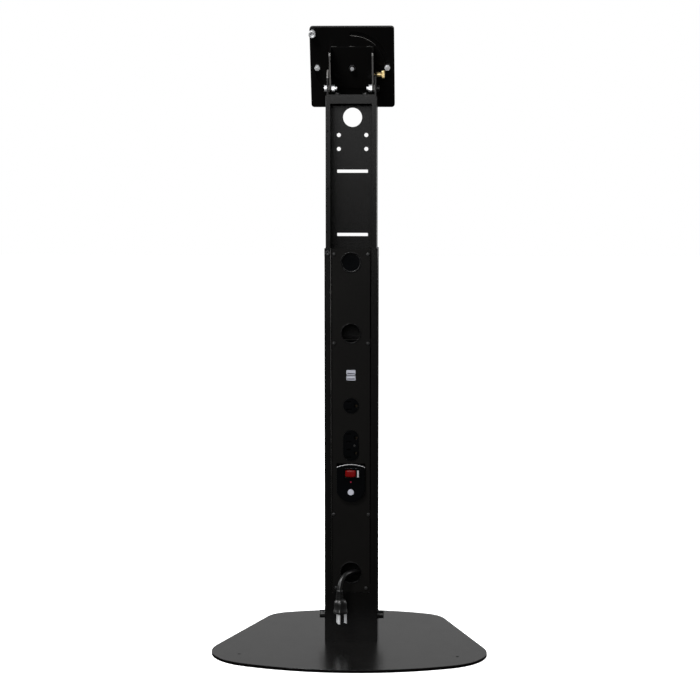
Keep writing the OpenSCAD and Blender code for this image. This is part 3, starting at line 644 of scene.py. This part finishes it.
def row_centres(heights, radius):
    """Middle heights of rows of screws, from all their points' heights."""
    groups = []
    for z in heights:
        if groups and z - groups[-1][0] < 2.5 * radius:
            groups[-1].append(z)
        else:
            groups.append([z])
    return [(g[0] + g[-1]) / 2 for g in groups]


SCREW_HEAD_R = 0.0028
SCREW_PROFILE = [                               # radius, and depth from the head's face
    (0.0015, -0.0067), (0.0015, -0.0017), (SCREW_HEAD_R, -0.0017), (SCREW_HEAD_R, -0.0009), (0.0025, -0.0004),
    (0.0018, -0.0001), (0.0009, 0),
]
CROSS_ARM = (0.0034, 0.0007, 0.0020, 1)         # length, width and depth of one arm of the recess
CROSS_START = 20                                # degrees that the first row's crosses are turned
CROSS_TURN = 31                                 # degrees more from row to row


def cross_screws():
    """Pan-head screws with a cross recess that hold the service panel."""
    low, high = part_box("panel_screws")
    points = [v.co for v in nodes["panel_screws"].data.vertices]
    centres = row_centres(sorted({round(p.z, 4) for p in points}), SCREW_HEAD_R)
    bm = bmesh.new()
    cutter = bmesh.new()
    for row, z in enumerate(centres):
        reach = max(p.x for p in points if abs(p.z - z) < 2 * SCREW_HEAD_R) - SCREW_HEAD_R
        for x in (-reach, reach):
            place = Matrix.Translation((x, low.y, z)) @ Matrix.Rotation(math.radians(90), 4, "X")
            join(bm, lathe(SCREW_PROFILE, 28, place))
            for quarter in (0, 90):
                angle = math.radians(quarter + CROSS_START + CROSS_TURN * row)
                arm = place @ Matrix.Rotation(angle, 4, "Z") @ Matrix.Diagonal(CROSS_ARM)
                bmesh.ops.create_cube(cutter, size=1, matrix=arm)
    piece = add_piece("panel_screws_cross", mesh_from(bm, "panel_screws_cross"), "panel_screws")
    tool = bpy.data.objects.new("cross_tool", mesh_from(cutter, "cross_tool"))
    bpy.context.scene.collection.objects.link(tool)
    cut = piece.modifiers.new("cross", "BOOLEAN")
    cut.operation = "DIFFERENCE"
    cut.solver = "EXACT"
    cut.use_self = True
    cut.object = tool
    applied(piece)
    bpy.data.objects.remove(tool)
    shade(piece.data)
    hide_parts("panel_screws")


BEAD_CORNER = (0.0272, 0.0598)                  # from the tilt hinge, square to the plates and along them
BEADS_AT = (-0.028, 0, 0.028)
BEAD_LENGTH = 0.010
BEAD_R = 0.0011
BEAD_STEPS = 12
BEAD_SIDES = 10


def weld_beads():
    """Three short weld beads along the top of the tilt bracket, where it meets the head plate, in the lighter edge
    finish with its painted sheen.
    """
    away, up = BEAD_CORNER
    corner = Vector(joint_named("head_tilt")["pos_m"]) + head_away * away + head_up * up
    bm = bmesh.new()
    for x in BEADS_AT:
        shares = [i / BEAD_STEPS for i in range(BEAD_STEPS + 1)]
        path = [corner + Vector((x + BEAD_LENGTH * (share - 0.5), 0, 0)) for share in shares]
        bead = tube(path, BEAD_R, BEAD_SIDES)
        points = list(bead.verts)
        for i, centre in enumerate(path):
            swell = math.sin(math.pi * (0.08 + 0.84 * shares[i])) ** 0.5 * (1 + 0.14 * math.cos(2.6 * i))
            for v in points[i * BEAD_SIDES:(i + 1) * BEAD_SIDES]:
                v.co = centre + (v.co - centre) * swell
        join(bm, bead)
    add_piece("weld_beads", mesh_from(bm, "weld_beads"), "tilt_bracket", "rubbed_edge_and_painted_sheen")


clamp_screw()
rocker()
cross_screws()
weld_beads()


# ---------- studio ----------

FLOOR_SIZE = 12
FLOOR_DROP = 0.0003                             # keeps the floor clear of the base plate's underside

LAMPS = [                                       # name, place, target, size, watts
    ("key", (-0.6, -4.6, 1.6), (0, 0, 0.9), (3.0, 1.2), 84),
    ("high", (-1.0, -1.8, 2.9), (0, 0, 0.5), (0.8, 0.8), 96),
    ("side", (-2.5, -1.5, 1.6), (0, 0, 0.6), (0.8, 1.6), 14),
    ("flank", (-3.2, 0.7, 1.5), (0, 0, 0.6), (1.2, 1.8), 40),
    ("flank", (3.2, 0.7, 1.5), (0, 0, 0.6), (1.2, 1.8), 40),
]


def seen_or_cast(material, seen, cast, kind):
    """Joins the shader that the lens sees directly and the one that every other ray meets."""
    path = add_node(material, "ShaderNodeLightPath")
    mix = add_node(material, "ShaderNodeMixShader")
    output = add_node(material, kind)
    connect(material, path.outputs["Is Camera Ray"], mix.inputs[0])
    connect(material, cast, mix.inputs[1])
    connect(material, seen, mix.inputs[2])
    connect(material, mix.outputs[0], output.inputs["Surface"])


def stage_floor():
    """A white floor, which throws little light back at the post."""
    mesh = bpy.data.meshes.new("floor")
    bm = bmesh.new()
    bmesh.ops.create_grid(bm, x_segments=2, y_segments=2, size=FLOOR_SIZE)
    bm.to_mesh(mesh)
    bm.free()
    floor = bpy.data.objects.new("floor", mesh)
    bpy.context.scene.collection.objects.link(floor)
    floor.location.z = -FLOOR_DROP
    material = bpy.data.materials.new("floor")
    material.use_nodes = True
    material.node_tree.nodes.clear()
    pale = add_node(material, "ShaderNodeBsdfDiffuse", Color=(0.8, 0.8, 0.8, 1))
    glow = add_node(material, "ShaderNodeEmission", Color=(1, 1, 1, 1), Strength=0.95)
    both = add_node(material, "ShaderNodeAddShader")
    connect(material, pale.outputs[0], both.inputs[0])
    connect(material, glow.outputs[0], both.inputs[1])
    dark = add_node(material, "ShaderNodeBsdfDiffuse", Color=(0.035, 0.035, 0.035, 1))
    seen_or_cast(material, both.outputs[0], dark.outputs[0], "ShaderNodeOutputMaterial")
    mesh.materials.append(material)


def softbox(name, place, target, size, power):
    lamp = bpy.data.lights.new(name, "AREA")
    lamp.shape = "RECTANGLE"
    lamp.size, lamp.size_y = size
    lamp.energy = power
    light = bpy.data.objects.new(name, lamp)
    bpy.context.scene.collection.objects.link(light)
    light.location = place
    light.rotation_euler = (Vector(target) - Vector(place)).to_track_quat("-Z", "Y").to_euler()


def studio():
    """White surroundings for the lens, and a room that is dark in front of the post and pale behind it."""
    world = bpy.data.worlds.new("studio")
    world.use_nodes = True
    world.node_tree.nodes.clear()
    white = add_node(world, "ShaderNodeBackground", Color=(1, 1, 1, 1), Strength=1.0)
    room = add_node(world, "ShaderNodeBackground", Color=(1, 1, 1, 1))
    place = add_node(world, "ShaderNodeTexCoord")
    split = add_node(world, "ShaderNodeSeparateXYZ")
    connect(world, place.outputs["Generated"], split.inputs[0])
    connect(world, remap(world, split.outputs["Y"], -0.25, 0.35, 0.02, 0.60), room.inputs["Strength"])
    seen_or_cast(world, white.outputs[0], room.outputs[0], "ShaderNodeOutputWorld")
    bpy.context.scene.world = world
    for lamp in LAMPS:
        softbox(*lamp)
    bpy.context.scene.view_settings.view_transform = "Standard"


stage_floor()
studio()
